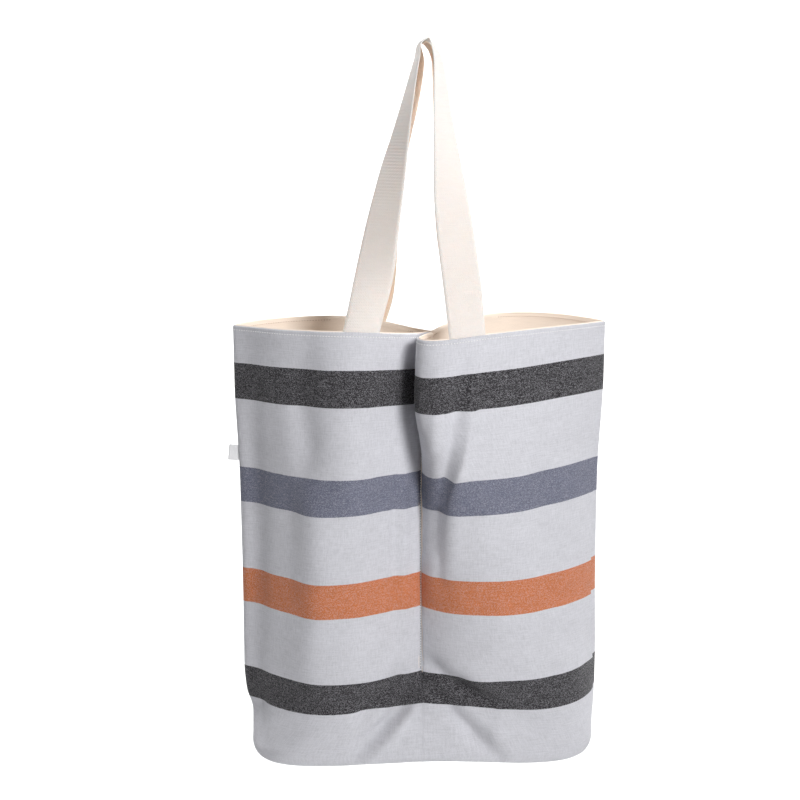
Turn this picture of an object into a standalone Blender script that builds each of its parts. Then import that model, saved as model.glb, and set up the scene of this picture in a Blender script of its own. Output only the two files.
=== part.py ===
"""A striped cotton wine bottle bag, hung open and empty from its two webbing handles.

Front and back cloth are sewn together down the middle, which makes two tall compartments.
A plain lining hangs inside both. The handles are sewn in between cloth and lining.
X points right, Y to the back, Z up. The origin is where both handles hang on one hook.
"""

import math

import bmesh
import bpy
from mathutils import Vector

MM = 0.001

# Body of the bag
BODY_WIDTH = 386 * MM  # side seam to side seam at the rim
BODY_HEIGHT = 464 * MM  # rim to underside of the base
BODY_DEPTH = 120 * MM  # a compartment at the mouth, front to back
BODY_SHIFT = -6.5 * MM  # middle of the body, to the left of the hook
CLOTH = 1.2 * MM  # outer cloth
LINING = 1.0 * MM
BASE_ROUND = 16 * MM  # soft edge between the wall and the base
BASE_SAG = 2 * MM
BASE_CORNER = 0.985  # the base's corners lie in from the sides, as a share of half the width
BASE_BEND = 0.7  # the bend takes up at most this share of the way to the middle
BASE_ARC = 0.4  # share of the rows across the base that the bend takes
BASE_ROWS = (0.15, 0.28, BASE_ARC, 0.7, 1.0)  # places from the wall to the middle of the base
HEM_GAP = 0.3 * MM  # between two plies of the bag
PINCH_GAP = 0.4 * MM  # between the two walls of the lining where the middle seam holds them

# Handles
HANDLE_DROP = 284 * MM  # hook to rim
WEBBING_WIDTH = 38 * MM
WEBBING_THICK = 1.8 * MM
WEBBING_TUCK = 25 * MM  # sewn in below the rim
TUCK_GAP = 0.4 * MM  # webbing to the cloth and to the lining
HOOK_GAP = 2 * MM  # front handle to back handle on the hook
RIM_LIFT = 2 * MM  # a handle pulls the rim up this far
LIFT_REACH = 366 * MM  # and the lift has faded out this far below the rim
TUCK_MARGIN = 12 * MM  # the lining stands off this far beside a sewn end
TUCK_BELOW = 6 * MM  # and this far below it
TUCK_FADE = 14 * MM  # then comes back to the cloth over this length

# Label
LABEL_OUT = 10 * MM
LABEL_HEIGHT = 14 * MM
LABEL_THICK = 1.4 * MM
LABEL_DOWN = 134 * MM  # rim to the middle of the label
LABEL_TILT = math.radians(6)

# Half the thickness of the seam stack: cloth, lining and both gaps
STACK = CLOTH + HEM_GAP + LINING + PINCH_GAP / 2

# Outline of the body. Down is a share of the body height, left, right and middle are
# shares of half the width, the rest are shares of the depth.
# Sag is how much lower the cloth hangs at the middle seam, and fades over a share of
# half the width.
SAG_SHARE = 0.35
OUTLINE_COLUMNS = ("down", "left", "right", "middle", "front_seam", "back_seam", "sag")
OUTLINE = (
    (0.000, -1.005, 1.005, -0.015, -0.27, -0.27, 0.035),
    (0.120, -1.005, 1.005, -0.015, -0.27, -0.27, 0.018),
    (0.355, -0.987, 0.985, -0.015, -0.25, -0.25, 0.010),
    (0.590, -0.985, 0.990, -0.012, -0.23, -0.23, 0.010),
    (0.790, -0.988, 1.003, -0.010, -0.23, -0.23, 0.020),
    (0.850, -0.978, 1.003, -0.010, -0.29, -0.05, 0.030),
    (0.905, -0.945, 0.998, -0.010, -0.35, 0.18, 0.040),
    (0.966, -0.947, 0.972, -0.010, -0.38, 0.36, 0.050),
)

# Each lobe is a curve from the middle seam to a side seam. A row holds the two pulls on
# its ends: across as a share of half the width, towards the back as a share of the depth.
LOBE_COLUMNS = ("down", "seam_across", "seam_back", "side_across", "side_back")
FRONT_LEFT = (
    (0.000, -0.50, -0.42, 0.60, -0.58),
    (0.120, -0.55, -0.50, 0.62, -0.72),
    (0.355, -0.42, -0.24, 0.68, -0.80),
    (0.590, -0.44, -0.34, 0.60, -0.65),
    (0.830, -0.36, -0.30, 0.44, -0.68),
    (0.905, -0.40, -0.20, 0.18, -0.68),
    (0.966, -0.42, -0.14, 0.00, -0.56),
)
FRONT_RIGHT = (
    (0.000, -0.34, -0.92, -0.28, -0.34),
    (0.120, -0.36, -1.05, -0.28, -0.36),
    (0.355, 0.04, -0.84, -0.30, -0.48),
    (0.590, 0.10, -0.36, -0.40, -0.84),
    (0.830, 0.22, -0.30, -0.26, -0.84),
    (0.905, 0.34, -0.22, -0.12, -0.82),
    (0.966, 0.42, -0.18, 0.01, -0.78),
)
BACK_LEFT = (
    (0.000, -0.22, 0.72, 0.28, 0.76),
    (0.355, -0.24, 0.66, 0.34, 0.66),
    (0.590, -0.26, 0.60, 0.36, 0.58),
    (0.830, -0.30, 0.46, 0.30, 0.56),
    (0.905, -0.38, 0.24, 0.16, 0.58),
    (0.966, -0.42, 0.14, 0.04, 0.50),
)
BACK_RIGHT = (
    (0.000, 0.20, 1.00, -0.22, 0.92),
    (0.355, 0.22, 0.86, -0.28, 0.74),
    (0.590, 0.26, 0.70, -0.32, 0.62),
    (0.830, 0.30, 0.52, -0.26, 0.58),
    (0.905, 0.38, 0.28, -0.14, 0.60),
    (0.966, 0.42, 0.16, -0.04, 0.52),
)

# Soft creases pressed into the cloth. Across is a share of half the width, down a share
# of the body height, wide a share of half the width, deep a share of the depth.
CREASE_COLUMNS = ("across_1", "down_1", "across_2", "down_2", "wide", "deep")
FRONT_CREASES = (
    (0.26, 0.13, 0.12, 0.36, 0.060, 0.035),
    (0.12, 0.36, 0.06, 0.58, 0.050, 0.030),
    (-0.34, 0.88, -0.14, 0.80, 0.035, 0.040),
    (0.20, 0.82, 0.34, 0.90, 0.040, 0.035),
    (-0.62, 0.04, -0.70, 0.55, 0.080, 0.030),
    (0.62, 0.30, 0.70, 0.72, 0.080, 0.025),
)
BACK_CREASES = (
    (-0.30, 0.10, -0.16, 0.42, 0.060, 0.035),
    (0.34, 0.12, 0.20, 0.50, 0.060, 0.035),
    (-0.52, 0.62, -0.34, 0.86, 0.050, 0.030),
    (0.60, 0.56, 0.42, 0.84, 0.060, 0.030),
)

# Where the legs of each handle are sewn in: the left and the right one, as shares of half
# the width from the middle of the body.
LEGS = {
    "front": (-0.325, 0.205),
    "back": (-0.255, 0.235),
}

# Course of every leg, from the rim (0) to the hook (1): how far up it is, how far it has
# leaned in over the hook, and how far it has turned edge on.
LEG_COLUMNS = ("up", "in", "turn")
LEG_COURSE = (
    (0.00, 0.00, 0.00),
    (0.08, 0.05, 0.00),
    (0.16, 0.11, 0.04),
    (0.26, 0.21, 0.16),
    (0.36, 0.30, 0.32),
    (0.46, 0.39, 0.46),
    (0.57, 0.48, 0.60),
    (0.67, 0.56, 0.74),
    (0.77, 0.63, 0.88),
    (0.87, 0.70, 0.98),
    (0.94, 0.77, 1.00),
    (0.98, 0.87, 1.00),
    (1.00, 1.00, 1.00),
)

# Mesh density
LOBE_STEPS = 15
WALL_STEPS = 13
STRAP_COLUMNS = 6
NUDGE = 1e-3  # step for slopes, as a share of a lobe or of the wall
NOSE_STACKS = 1.2  # the close columns at the side seam start this many stacks away from it
CORNER_SHARE = 0.98  # the base's corner takes the direction of the cloth just beside it
LEG_SEARCH = (0.12, 0.90)  # shares of a lobe between which a handle can be sewn in
FINE_SHARE = 0.002  # step along the rim when the webbing is laid on it
FREE_SHARE = 0.2  # the webbing has left the rim's curve this far up
WELD = 0.02 * MM  # plies of the lining closer than this are one
ROUND_SHARE = 0.45  # radius of the label's fold, as a share of its thickness
SHARP = math.radians(50)  # an edge that turns more than this looks sharp


def smooth_step(share):
    share = min(max(share, 0.0), 1.0)
    return share * share * (3 - 2 * share)


def slope_between(before, after):
    """A slope for the point between two runs that never makes the curve overshoot."""
    if before * after <= 0:
        return 0.0
    return 2 * before * after / (before + after)


def read_table(rows, columns, at):
    """Values of a table's columns at a place along its first column, on a smooth curve."""
    last = len(rows) - 1
    index = 0
    while index < last - 1 and at > rows[index + 1][0]:
        index += 1
    span = rows[index + 1][0] - rows[index][0]
    t = min(max((at - rows[index][0]) / span, 0.0), 1.0)
    values = {}
    for place, name in enumerate(columns):

        def slope(n):
            n = min(max(n, 0), last - 1)
            rise = rows[n + 1][place] - rows[n][place]
            return rise / (rows[n + 1][0] - rows[n][0])

        here = slope(index)
        slope_low = slope_between(slope(index - 1), here) * span
        slope_high = slope_between(here, slope(index + 1)) * span
        values[name] = (
            (2 * t**3 - 3 * t**2 + 1) * rows[index][place]
            + (t**3 - 2 * t**2 + t) * slope_low
            + (3 * t**2 - 2 * t**3) * rows[index + 1][place]
            + (t**3 - t**2) * slope_high
        )
    return values


def bezier(ends, share):
    left = 1 - share
    return (
        ends[0] * left**3
        + ends[1] * (3 * left**2 * share)
        + ends[2] * (3 * left * share**2)
        + ends[3] * share**3
    )


def lobe_ends(rows, outline, face, side):
    """The four control points of one lobe in plan, from the middle seam to the side seam."""
    half = BODY_WIDTH / 2
    pull = read_table(rows, LOBE_COLUMNS, outline["down"])
    seam = outline["front_seam"] if face < 0 else outline["back_seam"]
    start = Vector((BODY_SHIFT + outline["middle"] * half, seam * BODY_DEPTH))
    end = Vector((BODY_SHIFT + outline[side] * half, face * HEM_GAP / 2))
    first = start + Vector((pull["seam_across"] * half, pull["seam_back"] * BODY_DEPTH))
    second = end + Vector((pull["side_across"] * half, pull["side_back"] * BODY_DEPTH))
    return start, first, second, end


def crease_depth(creases, across, down):
    """How far the creases press the cloth in at a place on a panel."""
    total = 0.0
    for row in creases:
        crease = dict(zip(CREASE_COLUMNS, row))
        start = Vector((crease["across_1"], crease["down_1"]))
        end = Vector((crease["across_2"], crease["down_2"]))
        run = end - start
        place = Vector((across, down)) - start
        along = min(max(place.dot(run) / run.length_squared, 0.0), 1.0)
        away = place - run * along
        total += crease["deep"] * math.exp(-((away.length / crease["wide"]) ** 2))
    return total * BODY_DEPTH


def rim_lift(x, down):
    """The rim rises a little where a handle is sewn in."""
    lift = 0.0
    for legs in LEGS.values():
        for across in legs:
            away = (x - leg_x(across)) / WEBBING_WIDTH
            lift = max(lift, RIM_LIFT * math.exp(-(away**2)))
    return lift * (1 - smooth_step(down * BODY_HEIGHT / LIFT_REACH))


def leg_x(across):
    return BODY_SHIFT + across * BODY_WIDTH / 2


LOBES = {
    (-1, "left"): FRONT_LEFT,
    (-1, "right"): FRONT_RIGHT,
    (1, "left"): BACK_LEFT,
    (1, "right"): BACK_RIGHT,
}


def wall_point(face, side, share, down):
    """A point on the outside of the wall. Share runs from the middle seam to the side."""
    outline = read_table(OUTLINE, OUTLINE_COLUMNS, down)
    outline["down"] = down
    ends = lobe_ends(LOBES[face, side], outline, face, side)
    x, y = bezier(ends, share)
    # The side seam is a round nose as thick as the stack of plies.
    along = min((ends[3] - Vector((x, y))).length / STACK, 1.0)
    y += face * STACK * math.sqrt(1 - (1 - along) ** 2)
    across = (x - BODY_SHIFT) / (BODY_WIDTH / 2)
    creases = FRONT_CREASES if face < 0 else BACK_CREASES
    y -= face * crease_depth(creases, across, down)
    near = across - outline["middle"]
    sag = outline["sag"] * BODY_DEPTH * math.exp(-((near / SAG_SHARE) ** 2))
    z = -HANDLE_DROP - down * BODY_HEIGHT - sag + rim_lift(x, down)
    return Vector((x, y, z))


def cloth_point(face, side, share, down):
    """A point on the outside of the bag. Down past 1 is the way across the base."""
    edge = OUTLINE[-1][0]
    if down <= 1:
        return wall_point(face, side, share, down * edge)
    rim = wall_point(face, side, share, edge)
    outline = read_table(OUTLINE, OUTLINE_COLUMNS, edge)
    half = BODY_WIDTH / 2
    middle = BODY_SHIFT + outline["middle"] * half
    corner = BODY_SHIFT + outline[side] * half * BASE_CORNER
    floor = -HANDLE_DROP - BODY_HEIGHT
    target = Vector((middle + (corner - middle) * share, face * HEM_GAP / 2, floor))
    way = Vector((target.x - rim.x, target.y - rim.y))
    bend = min(BASE_ROUND, BASE_BEND * way.length)
    gone = down - 1
    if gone < BASE_ARC:
        turn = gone / BASE_ARC * math.pi / 2
        inward = bend * (1 - math.cos(turn))
        fall = math.sin(turn)
    else:
        inward = bend + (way.length - bend) * (gone - BASE_ARC) / (1 - BASE_ARC)
        fall = 1.0
    place = rim.xy + way.normalized() * inward
    flat = max(gone - BASE_ARC, 0.0) / (1 - BASE_ARC)
    z = rim.z + (floor - rim.z) * fall - BASE_SAG * flat
    return Vector((place.x, place.y, z))


def cloth_normal(face, side, share, down):
    """Which way is out of the bag at a place on the cloth."""
    low_share, high_share = max(share - NUDGE, 0.0), min(share + NUDGE, 1.0)
    low_down, high_down = max(down - NUDGE, 0.0), min(down + NUDGE, 2.0)
    across = cloth_point(face, side, high_share, down)
    across -= cloth_point(face, side, low_share, down)
    along = cloth_point(face, side, share, high_down)
    along -= cloth_point(face, side, share, low_down)
    normal = across.cross(along).normalized()
    return normal * (face if side == "right" else -face)


def ply_point(face, side, share, down, inset):
    """A point this far inside the outside of the cloth."""
    steady = min(share, CORNER_SHARE) if down > 1 else share
    normal = cloth_normal(face, side, steady, down)
    if share == 0:
        other = "right" if side == "left" else "left"
        normal = (normal + cloth_normal(face, other, share, down)).normalized()
    if share == 1 or down == 2:
        # Where front and back meet, both offsets stay in the plane between them.
        normal = (normal + cloth_normal(-face, side, steady, down)).normalized()
    return cloth_point(face, side, share, down) - normal * inset


def lobe_shares():
    """Places across a lobe, close together round the nose of the side seam."""
    even = [step / (LOBE_STEPS - 2) for step in range(LOBE_STEPS - 2)]
    nose = 1 - NOSE_STACKS * STACK / (BODY_WIDTH / 2)
    return even + [nose, (1 + nose) / 2, 1.0]


def panel_columns():
    """Places across a whole panel as (side, share), from the left seam to the right one."""
    shares = lobe_shares()
    left = [("left", share) for share in reversed(shares)]
    return left + [("right", share) for share in shares[1:]]


def tuck_place():
    """How far down the wall the sewn ends of the handles reach."""
    return WEBBING_TUCK / (OUTLINE[-1][0] * BODY_HEIGHT)


def row_places():
    """Places down a panel: 0 to 1 is the wall, 1 to 2 the way across the base."""
    tuck = tuck_place()
    below = [tuck + (1 - tuck) * step / WALL_STEPS for step in range(WALL_STEPS + 1)]
    return [0.0, *below, *(1 + place for place in BASE_ROWS)]


def ply_grid(face, inset):
    """Rows of points on one ply, each row from the left seam to the right seam."""
    columns = panel_columns()
    grid = []
    for down in row_places():
        row = []
        for side, share in columns:
            depth = inset(face, side, share, down) if callable(inset) else inset
            row.append(ply_point(face, side, share, down, depth))
        grid.append(row)
    return grid


def tuck_room(face, side, share, down):
    """How much further in the lining lies to make room for a handle's end."""
    place = cloth_point(face, side, share, down)
    legs = LEGS["front" if face < 0 else "back"]
    margin = WEBBING_WIDTH / 2 + TUCK_MARGIN
    across = min(abs(place.x - leg_x(leg)) for leg in legs)
    below = (down - tuck_place()) * OUTLINE[-1][0] * BODY_HEIGHT
    beside = 1 - smooth_step((across - margin) / TUCK_FADE)
    under = 1 - smooth_step((below - TUCK_BELOW) / TUCK_FADE)
    extra = WEBBING_THICK + 2 * TUCK_GAP - HEM_GAP
    return extra * beside * under


def lining_outside(face, side, share, down):
    return CLOTH + HEM_GAP + tuck_room(face, side, share, down)


def lining_inside(face, side, share, down):
    return lining_outside(face, side, share, down) + LINING


def add_grid(mesh, grid, flip):
    """Joins rows of points with faces, and gives back the rows of vertices."""
    rows = [[mesh.verts.new(point) for point in row] for row in grid]
    for upper, lower in zip(rows, rows[1:]):
        for left in range(len(upper) - 1):
            # Every ply is cut along the same diagonals, so that plies stay parallel.
            if left < len(upper) // 2:
                first = [upper[left], lower[left], upper[left + 1]]
                second = [lower[left], lower[left + 1], upper[left + 1]]
            else:
                first = [upper[left], lower[left], lower[left + 1]]
                second = [upper[left], lower[left + 1], upper[left + 1]]
            for corners in (first, second):
                mesh.faces.new(reversed(corners) if flip else corners)
    return rows


def join_edges(mesh, outer, inner, closed=False):
    """Closes the gap between two lines of vertices that run side by side."""
    pairs = list(zip(outer, inner))
    follow = pairs[1:] + pairs[:1] if closed else pairs[1:]
    for (a, b), (c, d) in zip(pairs, follow):
        mesh.faces.new((a, c, d, b))


def outline_of(rows):
    """The vertices round the edge of a grid, once round."""
    top = rows[0]
    bottom = list(reversed(rows[-1]))
    right = [row[-1] for row in rows[1:-1]]
    left = [row[0] for row in reversed(rows[1:-1])]
    return top + right + bottom + left


def finish(mesh, name, colour, roughness):
    """Turns a mesh into a named object with its own material."""
    bmesh.ops.recalc_face_normals(mesh, faces=mesh.faces)
    if mesh.calc_volume(signed=True) < 0:
        bmesh.ops.reverse_faces(mesh, faces=mesh.faces)
    data = bpy.data.meshes.new(name)
    mesh.to_mesh(data)
    mesh.free()
    data.shade_smooth()
    data.set_sharp_from_angle(angle=SHARP)
    made = bpy.data.objects.new(name, data)
    bpy.context.scene.collection.objects.link(made)
    material = bpy.data.materials.new(name)
    material.use_nodes = True
    shader = material.node_tree.nodes["Principled BSDF"]
    shader.inputs["Base Color"].default_value = (*colour, 1)
    shader.inputs["Roughness"].default_value = roughness
    data.materials.append(material)
    return made


def make_panel(name, face):
    """One outer cloth, from the rim to the middle of the base."""
    mesh = bmesh.new()
    outer = add_grid(mesh, ply_grid(face, 0.0), face > 0)
    inner = add_grid(mesh, ply_grid(face, CLOTH), face < 0)
    join_edges(mesh, outline_of(outer), outline_of(inner), closed=True)
    return finish(mesh, name, (0.62, 0.62, 0.66), 0.9)


def settle(grid):
    """Lays the side and base edges of a lining ply on the middle plane, where plies join."""
    for row in grid:
        row[0].y = 0.0
        row[-1].y = 0.0
    for point in grid[-1]:
        point.y = 0.0
    return grid


def make_lining():
    """The inner bag: two plies in one piece, open only at the rim."""
    mesh = bmesh.new()
    rims = []
    for face in (-1, 1):
        outer = add_grid(mesh, settle(ply_grid(face, lining_outside)), face > 0)
        inner = add_grid(mesh, settle(ply_grid(face, lining_inside)), face < 0)
        rims.append((outer[0], inner[0]))
    for outer, inner in rims:
        join_edges(mesh, outer, inner)
    bmesh.ops.remove_doubles(mesh, verts=mesh.verts, dist=WELD)
    return finish(mesh, "lining", (0.80, 0.74, 0.66), 0.9)


def faceted_point(face, side, share, down, inset):
    """A point on the flat facets between the columns and rows of a ply."""
    shares = lobe_shares()
    high = next(n for n, value in enumerate(shares) if value >= share and n > 0)
    part = (share - shares[high - 1]) / (shares[high] - shares[high - 1])
    low_point = ply_point(face, side, shares[high - 1], down, inset)
    return low_point.lerp(ply_point(face, side, shares[high], down, inset), part)


def share_at(face, side, x, start, end):
    """The share across a lobe, between two shares, where the rim passes a given x."""
    for _ in range(40):
        middle = (start + end) / 2
        beyond = abs(faceted_point(face, side, middle, 0.0, 0.0).x) > abs(x)
        start, end = (start, middle) if beyond else (middle, end)
    return (start + end) / 2


def webbing_shares(face, side, across):
    """Shares across a lobe at which the webbing has its columns, with how far each lies
    from the middle of the webbing: both edges and every column of the cloth in between."""
    middle = share_at(face, side, leg_x(across), *LEG_SEARCH)
    edges = []
    for way in (-1, 1):
        share, gone = middle, 0.0
        point = faceted_point(face, side, share, 0.0, 0.0)
        while gone < WEBBING_WIDTH / 2:
            share += way * FINE_SHARE
            follow = faceted_point(face, side, share, 0.0, 0.0)
            gone += (follow - point).length
            point = follow
        edges.append(share)
    gap = 4 * FINE_SHARE
    inside = [share for share in lobe_shares() if edges[0] + gap < share < edges[1] - gap]
    shares = [edges[0], *inside, edges[1]]
    while len(shares) < STRAP_COLUMNS:
        gaps = [high - low for low, high in zip(shares, shares[1:])]
        widest = gaps.index(max(gaps))
        shares.insert(widest + 1, (shares[widest] + shares[widest + 1]) / 2)
    points = [faceted_point(face, side, share, 0.0, 0.0) for share in shares]
    spots = [0.0]
    for point, follow in zip(points, points[1:]):
        spots.append(spots[-1] + (follow - point).length)
    return shares, [spot - spots[-1] / 2 for spot in spots]


def leg_rows(face, side, shares):
    """Rows of points on the middle of the webbing, from its sewn end up to the rim."""
    inset = CLOTH + TUCK_GAP + WEBBING_THICK / 2
    rows = []
    for down in (tuck_place(), 0.0):
        rows.append([faceted_point(face, side, share, down, inset) for share in shares])
    return rows


def free_rows(rim_row, face, side, spots):
    """Rows of points on the middle of the webbing, from the rim up to the hook."""
    middle = (rim_row[0] + rim_row[-1]) / 2
    lean = face * (WEBBING_WIDTH + HOOK_GAP) / 2
    hook = Vector((0, lean, WEBBING_THICK / 2))
    # The inner edge of a front leg ends up nearest the viewer, of a back leg furthest.
    start = (rim_row[-1] - rim_row[0]).normalized()
    rim_angle = math.atan2(start.y, start.x)
    turned = math.remainder(-face * math.pi / 2 - rim_angle, 2 * math.pi)
    rows = []
    for entry in LEG_COURSE[1:]:
        leg = dict(zip(LEG_COLUMNS, entry))
        centre = middle + (hook - middle) * leg["up"]
        centre.x = middle.x + (hook.x - middle.x) * leg["in"]
        angle = rim_angle + turned * leg["turn"]
        width = Vector((math.cos(angle), math.sin(angle), 0))
        flat = smooth_step(leg["up"] / FREE_SHARE)
        row = []
        for n, sewn in enumerate(rim_row):
            even = WEBBING_WIDTH * (n / (STRAP_COLUMNS - 1) - 0.5)
            spot = spots[n] + (even - spots[n]) * flat
            row.append((sewn - middle + centre).lerp(centre + width * spot, flat))
        rows.append(row)
    return rows


def webbing_leg(name, face, side):
    """Rows of points for one leg, from its sewn end to the hook."""
    across = LEGS[name][0 if side == "left" else 1]
    shares, spots = webbing_shares(face, side, across)
    rows = leg_rows(face, side, shares)
    return rows + free_rows(rows[-1], face, side, spots)


def thicken(mesh, grid, thick):
    """A closed strip of even thickness round the middle surface that a grid gives."""
    last_row, last_column = len(grid) - 1, len(grid[0]) - 1
    sides = ([], [])
    for r, row in enumerate(grid):
        for line in sides:
            line.append([])
        for c, point in enumerate(row):
            across = row[min(c + 1, last_column)] - row[max(c - 1, 0)]
            along = grid[min(r + 1, last_row)][c] - grid[max(r - 1, 0)][c]
            normal = across.cross(along).normalized()
            sides[0][r].append(point + normal * thick / 2)
            sides[1][r].append(point - normal * thick / 2)
    outer = add_grid(mesh, sides[0], False)
    inner = add_grid(mesh, sides[1], True)
    join_edges(mesh, outline_of(outer), outline_of(inner), closed=True)


def make_handle(name, face):
    mesh = bmesh.new()
    left = webbing_leg(name, face, "left")
    right = webbing_leg(name, face, "right")
    thicken(mesh, left + right[-2::-1], WEBBING_THICK)
    return finish(mesh, name + "_handle", (0.93, 0.90, 0.86), 0.85)


def make_label():
    """A folded tab that sticks out of the left side seam."""
    down = LABEL_DOWN / BODY_HEIGHT / OUTLINE[-1][0]
    seam = cloth_point(-1, "left", 1.0, down)
    mesh = bmesh.new()
    bmesh.ops.create_cube(mesh, size=1)
    bmesh.ops.scale(mesh, verts=mesh.verts, vec=(LABEL_OUT, LABEL_THICK, LABEL_HEIGHT))
    fold = [edge for edge in mesh.edges if all(v.co.x < 0 for v in edge.verts)]
    fold = [edge for edge in fold if abs(edge.verts[0].co.z - edge.verts[1].co.z) > LABEL_THICK]
    bmesh.ops.bevel(
        mesh,
        geom=fold,
        offset=LABEL_THICK * ROUND_SHARE,
        segments=3,
        profile=0.5,
        affect="EDGES",
        material=-1,
    )
    label = finish(mesh, "side_label", (0.94, 0.94, 0.93), 0.8)
    slack = LABEL_HEIGHT / 2 * math.sin(LABEL_TILT)
    label.location = (seam.x - HEM_GAP - slack - LABEL_OUT / 2, 0, seam.z)
    label.rotation_euler = (0, LABEL_TILT, 0)
    return label


def clear_scene():
    for item in list(bpy.data.objects):
        bpy.data.objects.remove(item, do_unlink=True)


def main():
    clear_scene()
    make_panel("front_panel", -1)
    make_panel("back_panel", 1)
    make_lining()
    make_handle("front", -1)
    make_handle("back", 1)
    make_label()


main()
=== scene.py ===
# %% [markdown]
# # A striped bag for wine bottles, made in Blender
#
# The bag hangs open from its two webbing handles. It is sewn from a striped cotton canvas
# with a plain cotton lining, and a stitched line down the middle makes two compartments.
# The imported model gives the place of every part, in metres. Here each soft part is made
# again as fine cloth: panels, lining, webbing, a folded tab and every visible stitch.
# A cloth solver would find folds of its own, so every fold here has its given place.

# %% The fixed frame
import math
from collections import namedtuple

import bmesh
import bpy
from mathutils import Matrix, Vector, noise


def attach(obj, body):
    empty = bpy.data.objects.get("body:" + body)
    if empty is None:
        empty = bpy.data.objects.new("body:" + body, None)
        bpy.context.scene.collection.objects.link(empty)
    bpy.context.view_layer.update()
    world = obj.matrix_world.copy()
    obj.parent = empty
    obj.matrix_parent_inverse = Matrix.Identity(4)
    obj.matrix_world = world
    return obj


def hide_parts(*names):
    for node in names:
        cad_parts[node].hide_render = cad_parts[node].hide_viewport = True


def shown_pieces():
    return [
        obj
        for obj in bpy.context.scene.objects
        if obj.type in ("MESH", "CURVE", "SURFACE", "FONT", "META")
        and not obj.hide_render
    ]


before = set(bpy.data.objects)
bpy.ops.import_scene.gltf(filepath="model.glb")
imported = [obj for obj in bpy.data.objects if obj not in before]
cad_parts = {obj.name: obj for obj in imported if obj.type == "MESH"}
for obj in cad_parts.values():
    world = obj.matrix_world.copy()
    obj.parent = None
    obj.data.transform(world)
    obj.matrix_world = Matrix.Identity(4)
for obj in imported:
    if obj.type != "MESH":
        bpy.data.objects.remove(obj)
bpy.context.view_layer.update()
MM = 0.001

# %% [markdown]
# ## The camera
#
# The bag is seen from a little to its left and 20 cm above its rim, through a normal lens
# that stands 1.4 m away. The picture is 800 pixels wide, and a metre on the bag is 980.

# %% Camera
camera_data = bpy.data.cameras.new("camera")
camera_data.sensor_width = 36
camera_data.lens = 59.85
camera = bpy.data.objects.new("camera", camera_data)
camera.location = (-0.1357, -1.3629, -0.0911)
camera.rotation_euler = (math.radians(78.7), 0, math.radians(-4.5))
bpy.context.scene.collection.objects.link(camera)
bpy.context.scene.camera = camera
print("camera at", [round(v, 3) for v in camera.location])

# %% [markdown]
# ## The form of the bag
#
# An open bag that hangs from its handles has a simple order in it. In plan, each wall is
# two lobes that start at the middle seam and end at a side seam. A Bezier curve draws one
# lobe, and a short table says how its two ends pull at a few heights. Everything between
# the rows of a table is a smooth blend, so the cloth stays one continuous surface. It could
# be pulled by hand, but in a table one number moves one thing. Across is a share of half
# the width from the middle, down a share of the height, and back a share of the depth.

# %% Sizes
BODY_WIDTH = 386 * MM
HALF = BODY_WIDTH / 2
BODY_HEIGHT = 464 * MM
BODY_DEPTH = 120 * MM
BODY_SHIFT = -6.5 * MM
HANDLE_DROP = 284 * MM
STACK = 2.7 * MM  # half the thickness of all the plies at a seam
SEAM_GAP = 0.3 * MM
BASE_ROUND = 13 * MM
BASE_SAG = 5 * MM
BASE_CORNER = 0.985
BASE_TILT = 3 * MM
SAG_SHARE = 0.35

OUTLINE_COLUMNS = ("down", "left", "right", "middle", "front_seam", "back_seam", "sag")
OUTLINE = (
    (0.000, -1.005, 1.005, 0.045, -0.15, -0.15, 0.060),
    (0.120, -1.005, 1.005, 0.025, -0.18, -0.18, 0.030),
    (0.355, -0.987, 0.985, -0.015, -0.25, -0.25, 0.010),
    (0.590, -0.985, 0.990, -0.012, -0.23, -0.23, 0.010),
    (0.790, -0.988, 1.003, -0.010, -0.23, -0.23, 0.020),
    (0.850, -0.978, 1.003, -0.010, -0.34, -0.05, -0.030),
    (0.905, -0.945, 0.998, -0.010, -0.45, 0.18, -0.045),
    (0.966, -0.947, 0.972, -0.010, -0.49, 0.36, 0.070),
)
WALL_END = OUTLINE[-1][0]

LOBE_COLUMNS = ("down", "seam_across", "seam_back", "side_across", "side_back")
LOBES = {
    (-1, "left"): (
        (0.000, -0.36, -0.48, 0.52, -0.66),
        (0.120, -0.40, -0.48, 0.60, -0.74),
        (0.355, -0.40, -0.42, 0.58, -0.84),
        (0.590, -0.44, -0.34, 0.54, -0.80),
        (0.790, -0.38, -0.31, 0.46, -0.75),
        (0.850, -0.37, -0.13, 0.38, -0.74),
        (0.905, -0.40, -0.02, 0.20, -0.74),
        (0.966, -0.42, 0.02, -0.03, -0.68),
    ),
    (-1, "right"): (
        (0.000, -0.44, -1.08, -0.28, -0.34),
        (0.120, -0.43, -1.18, -0.28, -0.36),
        (0.355, 0.04, -0.84, -0.30, -0.48),
        (0.590, 0.10, -0.36, -0.40, -0.84),
        (0.790, 0.20, -0.32, -0.28, -0.84),
        (0.850, 0.28, -0.13, -0.22, -0.82),
        (0.905, 0.34, -0.02, -0.12, -0.82),
        (0.966, 0.42, 0.02, 0.03, -0.82),
    ),
    (1, "left"): (
        (0.000, -0.22, 0.72, 0.28, 0.76),
        (0.355, -0.24, 0.66, 0.34, 0.66),
        (0.590, -0.26, 0.60, 0.36, 0.58),
        (0.830, -0.30, 0.46, 0.30, 0.56),
        (0.905, -0.38, 0.24, 0.16, 0.58),
        (0.966, -0.42, 0.14, 0.04, 0.50),
    ),
    (1, "right"): (
        (0.000, 0.20, 1.00, -0.22, 0.92),
        (0.355, 0.22, 0.86, -0.28, 0.74),
        (0.590, 0.26, 0.70, -0.32, 0.62),
        (0.830, 0.30, 0.52, -0.26, 0.58),
        (0.905, 0.38, 0.28, -0.14, 0.60),
        (0.966, 0.42, 0.16, -0.04, 0.52),
    ),
}
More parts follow.
